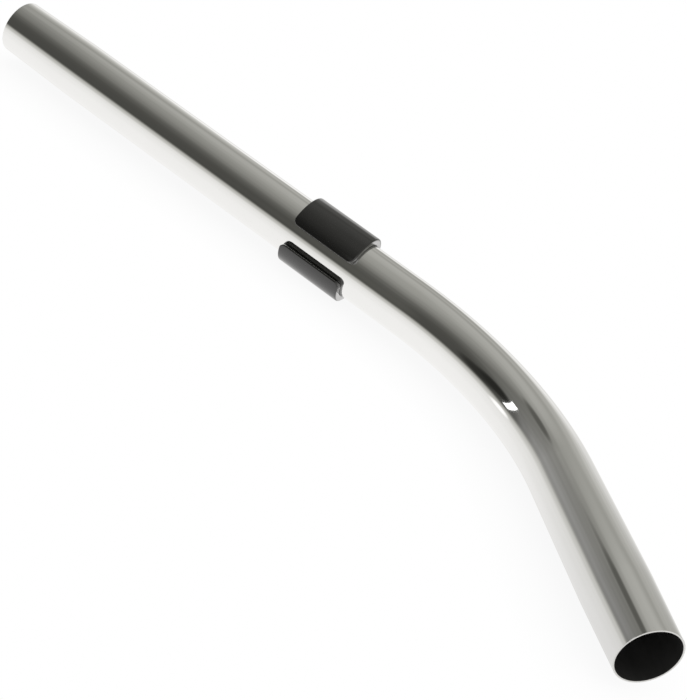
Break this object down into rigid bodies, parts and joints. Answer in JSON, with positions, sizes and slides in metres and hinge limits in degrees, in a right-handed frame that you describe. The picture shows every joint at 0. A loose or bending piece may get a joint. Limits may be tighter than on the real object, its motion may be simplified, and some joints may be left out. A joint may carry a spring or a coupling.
{
  "type": "curved vacuum wand",
  "caption": "Bent chromed steel vacuum-cleaner wand with tapered push-fit ends and a split black twist collar that opens an air-bleed hole to ease the suction.",
  "frame": {"origin": "centre of the rim at the lower end of the straight run", "axes": "+X along the straight run towards the bend, the bend turns towards -Y, +Z square to the plane of the bend"},
  "size_m": [0.4746, 0.1658, 0.0398],
  "materials": {
    "chrome": "bright chrome plate over polished steel tube",
    "black_plastic": "glossy moulded black plastic"
  },
  "bodies": {
    "wand": {"wand_tube": "chrome"},
    "collar": {"suction_collar": "black_plastic"}
  },
  "joints": [
    {"name": "collar_twist", "type": "hinge", "parent": "wand", "child": "collar", "pos_m": [0.2238, 0, 0], "axis": [1, 0, 0], "continuous": true}
  ]
}
